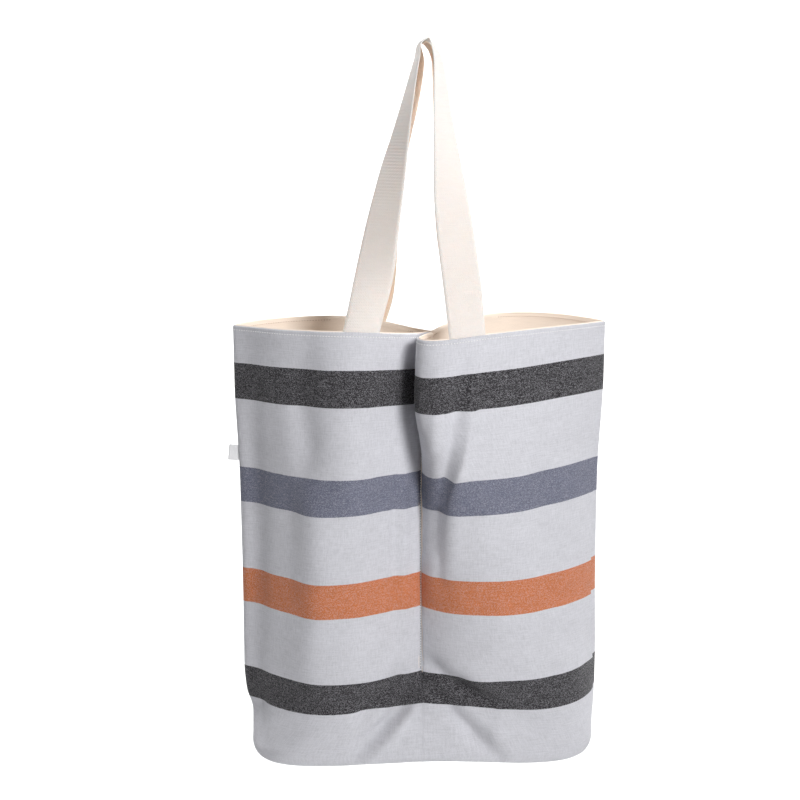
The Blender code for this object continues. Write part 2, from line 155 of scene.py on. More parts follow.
# The legs of the handles, across: -1 is the front wall here and below, 1 the back.
LEGS = {-1: (-0.335, 0.205), 1: (-0.255, 0.255)}
print("the walls end", round(WALL_END * BODY_HEIGHT, 3), "m below the rim")

# %% Reading a table, and one lobe in plan


def smooth_step(share):
    share = min(max(share, 0.0), 1.0)
    return share * share * (3 - 2 * share)


def slope_between(before, after):
    return 2 * before * after / (before + after) if before * after > 0 else 0.0


def read_table(rows, columns, at):
    """Values of a table's columns at a place along its first column, on a smooth curve."""
    last = len(rows) - 1
    index = 0
    while index < last - 1 and at > rows[index + 1][0]:
        index += 1
    span = rows[index + 1][0] - rows[index][0]
    t = min(max((at - rows[index][0]) / span, 0.0), 1.0)
    values = {}
    for place, name in enumerate(columns):

        def slope(n):
            n = min(max(n, 0), last - 1)
            rise = rows[n + 1][place] - rows[n][place]
            return rise / (rows[n + 1][0] - rows[n][0])

        here = slope(index)
        slope_low = slope_between(slope(index - 1), here) * span
        slope_high = slope_between(here, slope(index + 1)) * span
        values[name] = (
            (2 * t**3 - 3 * t**2 + 1) * rows[index][place]
            + (t**3 - 2 * t**2 + t) * slope_low
            + (3 * t**2 - 2 * t**3) * rows[index + 1][place]
            + (t**3 - t**2) * slope_high
        )
    return values


def bezier(ends, share):
    left = 1 - share
    return (
        ends[0] * left**3
        + ends[1] * (3 * left**2 * share)
        + ends[2] * (3 * left * share**2)
        + ends[3] * share**3
    )


def wall_shape(face, down):
    """The outline and both lobes of one wall at a height, worked out once for a row."""
    outline = read_table(OUTLINE, OUTLINE_COLUMNS, down)
    seam = outline["front_seam"] if face < 0 else outline["back_seam"]
    start = Vector((BODY_SHIFT + outline["middle"] * HALF, seam * BODY_DEPTH))
    shape = {"down": down, "outline": outline}
    for side in ("left", "right"):
        pull = read_table(LOBES[face, side], LOBE_COLUMNS, down)
        end = Vector((BODY_SHIFT + outline[side] * HALF, face * SEAM_GAP / 2))
        first = start + Vector((pull["seam_across"] * HALF, pull["seam_back"] * BODY_DEPTH))
        second = end + Vector((pull["side_across"] * HALF, pull["side_back"] * BODY_DEPTH))
        shape[side] = (start, first, second, end)
    return shape


seam_at_rim = wall_shape(-1, 0.0)["left"][0]
print("the middle seam at the rim:", [round(v, 4) for v in seam_at_rim])


# %% [markdown]
# ## Folds
#
# Folds are what make cloth look like cloth. Each one is a soft groove or ridge that runs
# from one place to another on a panel. A row gives its two ends as shares of half the
# width and of the height, how wide it is, and how deep: below zero it stands out as a
# ridge. These are the broad ones. They could be sculpted, but then every change to the
# form would undo them.

# %% Folds of both walls
CREASE_COLUMNS = ("across_1", "down_1", "across_2", "down_2", "wide", "deep")
CREASES = {
    -1: (
        (0.26, 0.13, 0.12, 0.36, 0.060, 0.035),
        (0.12, 0.36, 0.06, 0.58, 0.050, 0.030),
        (-0.34, 0.88, -0.14, 0.80, 0.035, 0.040),
        (0.20, 0.82, 0.34, 0.90, 0.040, 0.035),
        (-0.62, 0.04, -0.70, 0.55, 0.080, 0.030),
        (0.62, 0.30, 0.70, 0.72, 0.080, 0.025),
    ),
    1: (
        (-0.30, 0.10, -0.16, 0.42, 0.060, 0.035),
        (0.34, 0.12, 0.20, 0.50, 0.060, 0.035),
        (-0.52, 0.62, -0.34, 0.86, 0.050, 0.030),
        (0.60, 0.56, 0.42, 0.84, 0.060, 0.030),
    ),
}


def crease_depth(creases, across, down):
    total = 0.0
    for row in creases:
        crease = dict(zip(CREASE_COLUMNS, row))
        start = Vector((crease["across_1"], crease["down_1"]))
        run = Vector((crease["across_2"], crease["down_2"])) - start
        place = Vector((across, down)) - start
        along = min(max(place.dot(run) / run.length_squared, 0.0), 1.0)
        away = (place - run * along).length
        total += crease["deep"] * math.exp(-((away / crease["wide"]) ** 2))
    return total * BODY_DEPTH


print("broad folds:", {face: len(rows) for face, rows in CREASES.items()})

# %% [markdown]
# ## Places on the walls and the base
#
# A point on a wall is a place on a lobe's curve, moved in by the folds. At a side seam it
# rounds off to the thickness of the plies there. The wall's foot turns inward on a quarter
# circle and runs to the seam along the middle of the base, which sags a little.

# %% A place on a wall and on the base
LIFT, LIFT_WIDE, LIFT_REACH = 2 * MM, 38 * MM, 366 * MM  # the rim rises at the handles
TURN_SHARE = 0.4  # the part of the way across the base that turns the corner
CORNER_LIFT, CORNER_START, CORNER_SPAN = 0.55, 0.9, 0.1  # the side seams hold the base up
TILT_START, TILT_SPAN = -0.1, 0.6  # the right half of the base hangs lower


def leg_x(across):
    return BODY_SHIFT + across * HALF


def rim_lift(x, down):
    """The rim rises a little where a handle is sewn in."""
    lift = 0.0
    for legs in LEGS.values():
        for across in legs:
            lift = max(lift, math.exp(-(((x - leg_x(across)) / LIFT_WIDE) ** 2)))
    return LIFT * lift * (1 - smooth_step(down * BODY_HEIGHT / LIFT_REACH))


def wall_place(face, shape, side, share):
    """A point on the outside of the wall, on the row that shape was made for."""
    ends, outline, down = shape[side], shape["outline"], shape["down"]
    x, y = bezier(ends, share)
    along = min((ends[3] - Vector((x, y))).length / STACK, 1.0)
    y += face * STACK * math.sqrt(1 - (1 - along) ** 2)
    across = (x - BODY_SHIFT) / HALF
    y -= face * crease_depth(CREASES[face], across, down)
    near = across - outline["middle"]
    sag = outline["sag"] * BODY_DEPTH * math.exp(-((near / SAG_SHARE) ** 2))
    z = -HANDLE_DROP - down * BODY_HEIGHT - sag + rim_lift(x, down)
    return Vector((x, y, z))


def base_place(face, shape, side, share, gone):
    """A point on the way across the base: 0 is the end of the wall, 1 the middle."""
    edge = wall_place(face, shape, side, share)
    outline = shape["outline"]
    middle = BODY_SHIFT + outline["middle"] * HALF
    corner = BODY_SHIFT + outline[side] * HALF * BASE_CORNER
    tilt = BASE_TILT * smooth_step((edge.x / HALF - TILT_START) / TILT_SPAN)
    floor = -HANDLE_DROP - BODY_HEIGHT - tilt
    target = Vector((middle + (corner - middle) * share, face * SEAM_GAP / 2))
    way = target - edge.xy
    bend = min(BASE_ROUND, 0.7 * way.length)
    if gone < TURN_SHARE:
        turn = gone / TURN_SHARE * math.pi / 2
        inward, fall, flat = bend * (1 - math.cos(turn)), math.sin(turn), 0.0
    else:
        flat = (gone - TURN_SHARE) / (1 - TURN_SHARE)
        inward, fall = bend + (way.length - bend) * flat, 1.0
    spot = edge.xy + way.normalized() * inward
    fall *= 1 - CORNER_LIFT * smooth_step((share - CORNER_START) / CORNER_SPAN)
    return Vector((spot.x, spot.y, edge.z + (floor - edge.z) * fall - BASE_SAG * flat))


# %% [markdown]
# ## A ply of cloth
#
# All the plies share one set of columns and rows. The columns lie closer together at the
# middle seam and at the side seams, where the cloth turns round the seam allowance, and
# the rows lie closer at the rim. With each point comes the outward direction there, so
# that a ply can lie any distance inside the form.

# %% The grid that all the plies share
LOBE_STEPS = 62
WALL_ROWS = 132
BASE_PLACES = (0.06, 0.12, 0.18, 0.24, 0.3, 0.36, 0.42, 0.5, 0.6, 0.7, 0.8, 0.9, 1.0)
STITCH_DOWN = 3.4 * MM


def column_list(steps):
    """Places along both lobes; past the nose the cloth turns round its seam."""
    nose = 1 - 2.2 * STACK / HALF
    shares = [0, 0.004, 0.009] + [nose * step / steps for step in range(1, steps)]
    shares += [nose + (1 - nose) * (1 - (1 - step / 6) ** 2) for step in range(7)]
    return [("left", s) for s in reversed(shares)] + [("right", s) for s in shares[1:]]


def down_list(count):
    """Places down the wall in metres, with a few close rows at the sewn rim."""
    close = [0.0, 1.2 * MM, 2.3 * MM, STITCH_DOWN, 4.5 * MM, 6.5 * MM]
    end = WALL_END * BODY_HEIGHT
    return close + [close[-1] + (end - close[-1]) * n / count for n in range(1, count + 1)]


def form(face, columns, downs):
    """Points on the form and the outward direction at each, row by row."""
    points = []
    for down in downs:
        shape = wall_shape(face, down / BODY_HEIGHT)
        points.append([wall_place(face, shape, side, share) for side, share in columns])
    for gone in BASE_PLACES:
        points.append([base_place(face, shape, side, share, gone) for side, share in columns])
    outward = []
    for r, row in enumerate(points):
        above, below = points[max(r - 1, 0)], points[min(r + 1, len(points) - 1)]
        line = []
        for c, (side, share) in enumerate(columns):
            across = row[min(c + 1, len(row) - 1)] - row[max(c - 1, 0)]
            normal = across.cross(below[c] - above[c]).normalized() * face
            if share == 0:
                normal = Vector((0, face, 0))
            if share == 1 and r < len(downs):
                normal = Vector((-1 if side == "left" else 1, 0, 0))
            line.append(normal)
        outward.append(line)
    return points, outward


columns = column_list(LOBE_STEPS)
downs = down_list(WALL_ROWS)
front_form, front_out = form(-1, columns, downs)
back_form, back_out = form(1, columns, downs)
print("columns:", len(columns), "rows:", len(front_form))

# %% [markdown]
# ## Fine folds
#
# The bag hangs by four points, so its cloth breaks into narrow valleys with a ridge beside
# them. Each row follows one fold from place to place: across, down, and its width and
# height there in millimetres, below zero for a valley. Where stretches meet, only the
# deepest valley and the highest ridge count, so the joints don't add up to a knot.

# %% Fine folds
Place = namedtuple("Place", "across down wide high")
FINE_FOLDS = {
    -1: (
        ((-0.925, 0.03, 11, -1.5), (-0.905, 0.25, 11, -3.5), (-0.9, 0.48, 12, -5),
         (-0.915, 0.8, 10, -3)),
        ((-0.74, 0.14, 14, 1), (-0.7, 0.28, 14, 3), (-0.6, 0.4, 19, 8), (-0.62, 0.76, 22, 5)),
        ((-0.22, 0.12, 15, -1), (-0.225, 0.34, 16, -3.4), (-0.23, 0.62, 18, -1.2)),
        ((-0.165, 0.17, 6, -1), (-0.159, 0.42, 6, -4), (-0.159, 0.72, 8, -1.2)),
        ((-0.115, 0.2, 5, 1), (-0.108, 0.44, 5, 3), (-0.105, 0.7, 6, 1)),
        ((-0.7, 0.06, 12, -1), (-0.6, 0.25, 11, -2.6), (-0.72, 0.42, 13, -1)),
        ((0.185, 0.05, 8, -3), (0.158, 0.14, 8, -7), (0.11, 0.27, 8, -8), (0.06, 0.36, 8, -4),
         (0.045, 0.44, 8, -2)),
        ((0.24, 0.08, 9, 1), (0.215, 0.17, 9, 7), (0.175, 0.27, 9, 8.5), (0.135, 0.38, 10, 6.5),
         (0.115, 0.54, 12, 2)),
        ((0.048, 0.4, 9, -6), (0.045, 0.5, 10, -2.5)),
        ((0.05, 0.51, 7, 3), (0.055, 0.6, 8, 2.5)),
        ((0.045, 0.06, 6, 1), (0.02, 0.24, 6, 2.5)),
        ((-0.05, 0.815, 11, -4), (-0.125, 0.866, 10, -9.5), (-0.225, 0.908, 8, -10.5),
         (-0.39, 0.958, 7, -4)),
        ((-0.07, 0.885, 5, 3.5), (-0.165, 0.922, 5, 6), (-0.33, 0.974, 5, 2.5)),
        ((0.05, 0.835, 10, -4), (0.145, 0.882, 10, -9), (0.265, 0.932, 9, -9.5),
         (0.4, 0.98, 7, -4)),
        ((0.2, 0.85, 10, 3), (0.33, 0.9, 10, 5.5), (0.46, 0.955, 8, 2.5)),
        ((0.44, 0.86, 12, -2.8), (0.6, 0.915, 13, -4.2), (0.77, 0.965, 10, -1.4)),
        ((0.04, 0.77, 10, -5), (0.2, 0.825, 12, -7), (0.44, 0.862, 12, -2)),
        ((0.18, 0.76, 12, 2), (0.33, 0.805, 12, 3)),
        ((-0.9, 0.86, 6, -3), (-0.895, 0.95, 6, -1.5)),
        ((-0.82, 0.955, 6, 1.2), (-0.4, 0.985, 8, 0.6)),
        ((0.3, 0.62, 14, -1.2), (0.2, 0.72, 14, -0.6)),
        ((-0.45, 0.6, 16, -0.8), (-0.52, 0.74, 16, -0.8)),
        ((0.72, 0.1, 20, -1), (0.66, 0.34, 20, -0.8)),
        ((0.8, 0.5, 14, -1), (0.84, 0.74, 14, -1.4)),
        ((0.935, 0.72, 5, -1.6), (0.93, 0.8, 5, -0.6)),
    ),
    1: (
        ((-0.86, 0.05, 10, -1.5), (-0.84, 0.6, 9, -2)),
        ((0.85, 0.08, 10, -1.5), (0.86, 0.66, 9, -2)),
        ((-0.22, 0.14, 10, -1.5), (-0.12, 0.34, 9, -3), (-0.07, 0.5, 12, -0.8)),
        ((0.12, 0.1, 8, -0.8), (0.1, 0.4, 8, -2), (0.12, 0.66, 9, -0.5)),
        ((-0.08, 0.86, 10, -3), (-0.3, 0.93, 6, -2.2)),
        ((0.08, 0.86, 10, -3), (0.26, 0.91, 9, -3.2), (0.42, 0.95, 8, -1)),
        ((-0.46, 0.86, 12, -2), (-0.66, 0.93, 11, -1.6)),
        ((0.52, 0.6, 14, -0.8), (0.6, 0.74, 14, -0.6)),
    ),
}
FOLD_ENDS = {
    face: [(Place(*a), Place(*b)) for chain in chains for a, b in zip(chain, chain[1:])]
    for face, chains in FINE_FOLDS.items()
}


def fine_folds(face, across, down):
    """Valleys and ridges at a place: the deepest valley and the highest ridge count."""
    low = high = 0.0
    for start, end in FOLD_ENDS[face]:
        x, y = (across - start.across) * HALF, (down - start.down) * BODY_HEIGHT
        run_x = (end.across - start.across) * HALF
        run_y = (end.down - start.down) * BODY_HEIGHT
        part = (x * run_x + y * run_y) / (run_x**2 + run_y**2)
        part = min(max(part, 0.0), 1.0)
        away = math.hypot(x - run_x * part, y - run_y * part)
        wide = (start.wide + (end.wide - start.wide) * part) * MM
        if away < 3 * wide:
            rise = (start.high + (end.high - start.high) * part) * MM
            rise *= math.exp(-((away / wide) ** 2))
            low, high = min(low, rise), max(high, rise)
    return low + high


print("fine folds:", {face: len(chains) for face, chains in FINE_FOLDS.items()})

# %% [markdown]
# ## Small relief
#
# The middle seam draws the cloth into a narrow groove and puckers it. The side seams do so
# more softly, and beside one of them the allowance shows as a pressed line. Noise at two
# sizes adds the unrest of a soft canvas. Bump in a material could show most of this, but
# the outline would stay flat, so the points themselves move.

# %% Relief
SEAM_END = 0.79 * BODY_HEIGHT
SEAM_FADE = 12 * MM
PUCKER_WIDE = 9 * MM
GROOVE_WIDE = 1.5 * MM
GROOVE_DEEP = 1.3 * MM
ROLLED = 7.5 * MM  # where the allowance of the right side seam ends
PRESSED_WIDE = 1.3 * MM
PRESSED_DEEP = 0.9 * MM
STITCHED_DEEP = 0.35 * MM
HALF_BASE = 60 * MM


def relief(face, side, share, down, place):
    """How far a point of the outer cloth moves out of the bag."""
    seed = Vector((place.x, down, 7 if face > 0 else 0))
    out = 0.9 * MM * noise.noise(seed * 14) + 0.35 * MM * noise.noise(seed * 45)
    out += fine_folds(face, (place.x - BODY_SHIFT) / HALF, down / BODY_HEIGHT)
    if (side == "right") == (face < 0):
        beside = ((1 - share) * HALF - ROLLED) / PRESSED_WIDE
        out -= PRESSED_DEEP * math.exp(-(beside**2))
    pucker = noise.noise(Vector((down * 110, share * 4, 3))) * 0.8 * MM
    if down < SEAM_END + SEAM_FADE:
        near = math.exp(-((share * HALF / PUCKER_WIDE) ** 2))
        fade = 1 - smooth_step((down - SEAM_END) / SEAM_FADE)
        groove = math.exp(-((share * HALF / GROOVE_WIDE) ** 2)) * smooth_step(down / SEAM_FADE)
        out += (pucker * near * (1 - groove) - GROOVE_DEEP * groove) * fade
    edge = (1 - share) * HALF
    out += pucker * 0.6 * math.exp(-((edge / (14 * MM)) ** 2)) * smooth_step(edge / (4 * MM))
    out -= STITCHED_DEEP * math.exp(-(((down - STITCH_DOWN) / PRESSED_WIDE) ** 2))
    return out * smooth_step(edge / (6 * MM))


def roughen(face, points, outward, columns, downs):
    """Adds the relief, and returns how far down the cloth each row lies."""
    deep = downs + [downs[-1] + place * HALF_BASE for place in BASE_PLACES]
    for r, row in enumerate(points):
        for c, (side, share) in enumerate(columns):
            row[c] += outward[r][c] * relief(face, side, share, deep[r], row[c])
    return deep


front_deep = roughen(-1, front_form, front_out, columns, downs)
back_deep = roughen(1, back_form, back_out, columns, downs)
print("cloth from the rim to the middle of the base:", round(front_deep[-1], 3))

# %% [markdown]
# ## The turned rim
#
# At the rim the canvas is turned in over itself and the lining is turned out against it,
# and one line of topstitching holds both. A lip is a short profile of two numbers: how
# far back from the outside of the cloth it lies, and how far above the rim. The canvas
# turns over in a small round, and the lining stands a millimetre higher behind it, which
# gives the fine cream line along the top of the bag.
#
# A ply starts as a flat grid from `create_grid`, and each vertex is then put in its place.
# The UV map holds real distances in metres: across from the middle seam and down from the
# rim, so that stripes and threads follow the cloth. The seam on the right is not matched:
# the back cloth comes round it, and lower down its stripes lie 4 mm higher.

# %% Lips, lengths and the step at the right seam
CLOTH_LIP = (
    (1.9, -14), (1.9, -7), (1.9, -1), (1.75, 0.3),
    (1.4, 0.7), (0.95, 0.85), (0.5, 0.7), (0.15, 0.35),
)
LINING_LIP = (
    (2.0, -9), (2.0, -4), (2.0, 0.2), (2.1, 1.0),
    (2.45, 1.6), (2.85, 1.6), (3.15, 1.1), (3.25, 0.4),
)
LIP_SQUEEZE = 0.3  # how much thinner the rim is pressed where the middle seam crosses it
SEAM_STEP = 4 * MM


def arc_lengths(row):
    """Distance of each column from the middle seam, along the cloth."""
    middle = len(row) // 2
    spots = [0.0] * len(row)
    for c in range(middle + 1, len(row)):
        spots[c] = spots[c - 1] + (row[c] - row[c - 1]).length
    for c in range(middle - 1, -1, -1):
        spots[c] = spots[c + 1] - (row[c + 1] - row[c]).length
    return spots


def seam_step(down):
    """How much higher the stripes of the back lie where it comes round the right side."""
    return SEAM_STEP * smooth_step((down / BODY_HEIGHT - 0.3) / 0.4)


def seam_pull(column, down):
    """How much higher the stripes run near the right seam, which takes the cloth up."""
    side, share = columns[column]
    near = smooth_step((share - 0.5) / 0.5) if side == "right" else 0.0
    return SEAM_STEP * near * (1 - smooth_step((down / BODY_HEIGHT - 0.35) / 0.3))


# %% A ply from a form, an inset and a lip
def grid_on_rows(rows, top=1):
    """A grid laid on rows of points; top is -1 where the first row is its lower edge."""
    mesh = bmesh.new()
    uv = mesh.loops.layers.uv.new("Cloth")
    wide, tall = len(rows[0]) - 1, len(rows) - 1
    bmesh.ops.create_grid(mesh, x_segments=wide, y_segments=tall, size=1)
    spot = {}
    for vert in mesh.verts:
        x, y = vert.co.x, vert.co.y * top
        spot[vert] = (round((x + 1) / 2 * wide), round((1 - y) / 2 * tall))
    for vert, (c, r) in spot.items():
        vert.co = rows[r][c]
    return mesh, uv, spot


def lip_rows(columns, point_row, out_row, lip):
    """The turned edge: rows of points behind and above the rim, and how far down each is."""
    rows = []
    for back, rise in lip:
        line = []
        for (side, share), point, out in zip(columns, point_row, out_row):
            level = Vector((out.x, out.y, 0)).normalized()
            level *= 1 - LIP_SQUEEZE * math.exp(-((share * HALF / (8 * MM)) ** 2))
            line.append(point - level * back * MM + Vector((0, 0, rise * MM)))
        rows.append((line, -rise * MM if rise < 0 else 0.0))
    return rows


def lay_ply(columns, points, outward, deep, inset, lip, inward_side, rolled=None):
    """A sheet of cloth, laid this far inside the form, with a turned lip at its rim."""
    across = arc_lengths(points[len(points) // 2])
    rows = lip_rows(columns, points[0], outward[0], lip)
    for r, row in enumerate(points):
        line = [p - o * inset(r, c) for c, (p, o) in enumerate(zip(row, outward[r]))]
        rows.append((line, deep[r]))
    mesh, uv, spot = grid_on_rows([line for line, down in rows])
    for polygon in mesh.faces:
        past_seam = rolled and min(spot[vert][0] for vert in polygon.verts) >= rolled
        for loop in polygon.loops:
            c, r = spot[loop.vert]
            down = rows[r][1]
            if rolled:
                down += seam_pull(c, down)
                down += seam_step(down) if past_seam else 0.0
            loop[uv].uv = (across[c], down)
    if inward_side:
        bmesh.ops.reverse_faces(mesh, faces=mesh.faces)
    return mesh


# %% A piece from a mesh
def show(mesh, name, nodes=()):
    """Turns a bmesh into a named piece that rides on the bag."""
    data = bpy.data.meshes.new(name)
    mesh.to_mesh(data)
    mesh.free()
    data.shade_smooth()
    piece = bpy.data.objects.new(name, data)
    bpy.context.scene.collection.objects.link(piece)
    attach(piece, "root")
    if nodes:
        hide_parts(*nodes)
    return piece


def give_thickness(piece, thick, offset):
    wall = piece.modifiers.new("thickness", "SOLIDIFY")
    wall.thickness = thick
    wall.offset = offset
    return piece


# %% Front and back canvas
CANVAS_THICK = 0.6 * MM
rolled_column = min(
    c for c, (side, share) in enumerate(columns)
    if side == "right" and (1 - share) * HALF <= ROLLED
)


def on_the_form(r, c):
    return 0.0


front = (columns, front_form, front_out, front_deep, on_the_form, CLOTH_LIP)
front_mesh = lay_ply(*front, inward_side=False, rolled=rolled_column)
front_cloth = show(front_mesh, "front_canvas", ["front_panel"])
back = (columns, back_form, back_out, back_deep, on_the_form, CLOTH_LIP)
back_cloth = show(lay_ply(*back, inward_side=True), "back_canvas", ["back_panel"])
for cloth in (front_cloth, back_cloth):
    give_thickness(cloth, CANVAS_THICK, -1)
    print(cloth.name, len(cloth.data.polygons), "faces")

# %% [markdown]
# ## The lining
#
# The lining is an inner bag of thin plain cotton. It follows the canvas a little inside
# it and stands off where the ends of the handles lie between the two. Along the middle
# seam the stitches pull it tight against the canvas. Its two plies are one piece. A closed
# tube would do too, but two sheets that meet at the seams are how the real one is sewn.

# %% Lining
TUCK = 25 * MM  # how far the ends of the handles reach down between the plies


def lining_inset(face, points, deep, keep):
    """How far the inner face of the lining lies inside the form."""
    legs = LEGS[face]

    def inset(r, c):
        away = min(abs(points[r][c].x - leg_x(leg)) for leg in legs)
        beside = 1 - smooth_step((away - 31 * MM) / (14 * MM))
        under = 1 - smooth_step((deep[r] - TUCK - 6 * MM) / (14 * MM))
        seam = 1 - smooth_step((keep[c][1] * HALF - 8 * MM) / (24 * MM))
        seam *= 1 - smooth_step((deep[r] - SEAM_END) / (20 * MM))
        pulled = 0.95 + 1.3 * smooth_step(deep[r] / (14 * MM))
        return (3.25 - pulled * seam + 2.2 * beside * under) * MM

    return inset


def make_lining():
    joined = bmesh.new()
    for face, points, outward, deep in (
        (-1, front_form, front_out, front_deep),
        (1, back_form, back_out, back_deep),
    ):
        points = [row[::2] for row in points]
        outward = [row[::2] for row in outward]
        keep = columns[::2]
        inset = lining_inset(face, points, deep, keep)
        ply = lay_ply(keep, points, outward, deep, inset, LINING_LIP, face < 0)
        data = bpy.data.meshes.new("ply")
        ply.to_mesh(data)
        ply.free()
        joined.from_mesh(data)
        bpy.data.meshes.remove(data)
    return joined


lining = show(make_lining(), "inner_lining", ["lining"])
give_thickness(lining, 0.5 * MM, -1)
print("lining:", len(lining.data.polygons), "faces")

# %% [markdown]
# ## Stitches
#
# A stitch is a short rounded bit of thread that lies half sunk in the cloth. One small
# sphere per stitch, stretched along the seam, is enough, and all the stitches of a seam
# are one mesh. An array along a curve would do too, but it doesn't know which way is out.
# The seams are walked by their real length, so the pitch is even.

# %% Walking along a line on the cloth
def walk(line, outward, pitch, start=0.0):
    """Evenly spaced places on a line of points, each with its direction and its outward."""
    goal = start
    gone = 0.0
    spots = []
    for n in range(len(line) - 1):
        run = line[n + 1] - line[n]
        while run.length > 0 and goal <= gone + run.length:
            part = (goal - gone) / run.length
            out = outward[n].lerp(outward[n + 1], part).normalized()
            spots.append((line[n] + run * part, run.normalized(), out))
            goal += pitch
        gone += run.length
    return spots


# %% Sewing a line of stitches
def sew(name, spots, length, thick, rise=0.2 * MM):
    mesh = bmesh.new()
    for place, along, out in spots:
        side = out.cross(along).normalized()
        up = along.cross(side).normalized()
        turn = Matrix((along, side, up)).transposed().to_4x4()
        size = Matrix.Diagonal((length / 2, thick / 2, thick / 2, 1))
        where = Matrix.Translation(place + out * rise) @ turn @ size
        bmesh.ops.create_uvsphere(mesh, u_segments=6, v_segments=4, radius=1, matrix=where)
    show(mesh, name)
    print(name, len(spots), "stitches")


# %% [markdown]
# ## Webbing handles
#
# Each handle is one length of cotton webbing. Both ends are sewn in between canvas and
# lining, flat against the rim. On the way up each leg leans in over the hook and turns
# until it hangs edge on, so that both handles lie side by side at the top. The twist of a
# curve is hard to steer, so a table says for each height how far in the leg has come and
# how far it has turned. The strap is a grid, thickened by Solidify, thinner at its edges.

# %% Course of a leg
WEBBING_WIDTH = 39 * MM
WEBBING_THICK = 1.8 * MM
WEBBING_INSET = 2.5 * MM
STRAP_COLUMNS = 13
LOOP_SHIFT = 3.5 * MM
LEG_COLUMNS = ("up", "in", "turn")
LEG_UP = (0.00, 0.08, 0.16, 0.26, 0.36, 0.46, 0.57, 0.67, 0.77, 0.87, 0.94, 0.975, 0.992, 1.00)
LEG_IN = {
    (-1, 0): (0, 0.08, 0.16, 0.24, 0.31, 0.39, 0.48, 0.57, 0.66, 0.75, 0.82, 0.87, 0.93, 1),
    (-1, 1): (0, 0.06, 0.12, 0.225, 0.33, 0.43, 0.52, 0.60, 0.67, 0.72, 0.78, 0.83, 0.90, 1),
    (1, 0): (0, 0.11, 0.165, 0.23, 0.30, 0.395, 0.51, 0.62, 0.74, 0.84, 0.89, 0.92, 0.95, 1),
    (1, 1): (0, 0.05, 0.12, 0.22, 0.32, 0.43, 0.53, 0.62, 0.69, 0.76, 0.81, 0.86, 0.92, 1),
}
LEG_TURN = {
    (-1, 0): (0, 0.10, 0.17, 0.32, 0.45, 0.55, 0.66, 0.78, 0.87, 0.94, 0.98, 1, 1, 1),
    (-1, 1): (0, -0.06, -0.08, -0.05, 0.02, 0.15, 0.34, 0.48, 0.60, 0.69, 0.77, 0.84, 0.92, 1),
    (1, 0): (0, 0.22, 0.38, 0.50, 0.60, 0.68, 0.76, 0.79, 0.80, 0.82, 0.85, 0.90, 0.96, 1),
    (1, 1): (0, 0.05, 0.18, 0.36, 0.52, 0.66, 0.78, 0.86, 0.92, 0.96, 0.98, 1, 1, 1),
}


# %% The sewn end of a leg
def sewn_row(points, outward, x, inset):
    """A row of the strap that lies on a row of the form, centred where its x is given."""
    spots = arc_lengths(points)

    def away(n):
        return abs((points[n].x + points[n + 1].x) / 2 - x)

    near = min(range(len(points) - 1), key=away)
    run = points[near + 1].x - points[near].x
    centre = spots[near] + (spots[near + 1] - spots[near]) * (x - points[near].x) / run
    row = []
    for step in range(STRAP_COLUMNS):
        goal = centre + WEBBING_WIDTH * (step / (STRAP_COLUMNS - 1) - 0.5)
        n = max(k for k in range(len(spots) - 1) if spots[k] <= goal)
        part = (goal - spots[n]) / (spots[n + 1] - spots[n])
        out = outward[n].lerp(outward[n + 1], part).normalized()
        row.append(points[n].lerp(points[n + 1], part) - out * inset)
    return row


# %% A leg from its sewn end to the hook
LEG_STEPS = 120
LEG_EASE = 1.25  # the rows lie closer together towards the hook
FLAT_SHARE = 0.2  # up to here the leg keeps the curve of the rim
LOOP_START, LOOP_SPAN = 0.93, 0.07


def strap_leg(face, end):
    """Rows of one leg from its sewn end to the hook, each from its inner edge outwards."""
    across = LEGS[face][end]
    course = list(zip(LEG_UP, LEG_IN[face, end], LEG_TURN[face, end]))
    points, outward = (front_form, front_out) if face < 0 else (back_form, back_out)
    rows = []
    for r in range(len(downs) - 1, -1, -1):
        if downs[r] <= TUCK:
            row = sewn_row(points[r], outward[r], leg_x(across), WEBBING_INSET)
            rows.append(row if end == 1 else row[::-1])
    rim_row = rows[-1]
    middle = (rim_row[0] + rim_row[-1]) / 2
    hook = Vector((0, face * (WEBBING_WIDTH + 2 * MM) / 2, WEBBING_THICK / 2))
    start = (rim_row[-1] - rim_row[0]).normalized()
    rim_angle = math.atan2(start.y, start.x)
    turned = math.remainder(-face * math.pi / 2 - rim_angle, 2 * math.pi)
    for n in range(1, LEG_STEPS + 1):
        up = 1 - (1 - n / LEG_STEPS) ** LEG_EASE
        leg = read_table(course, LEG_COLUMNS, up)
        centre = middle + (hook - middle) * up
        shift = LOOP_SHIFT * smooth_step((up - LOOP_START) / LOOP_SPAN)
        centre.x = middle.x + (hook.x - middle.x) * leg["in"] - shift
        angle = rim_angle + turned * leg["turn"]
        width = Vector((math.cos(angle), math.sin(angle), 0))
        flat = smooth_step(up / FLAT_SHARE)
        row = []
        for c, sewn in enumerate(rim_row):
            spot = WEBBING_WIDTH * (c / (STRAP_COLUMNS - 1) - 0.5)
            row.append((sewn - middle + centre).lerp(centre + width * spot, flat))
        rows.append(row)
    return rows


# %% Making a strap
EDGE_SHARE = 0.6  # how thick the selvedges are, against the middle of the webbing


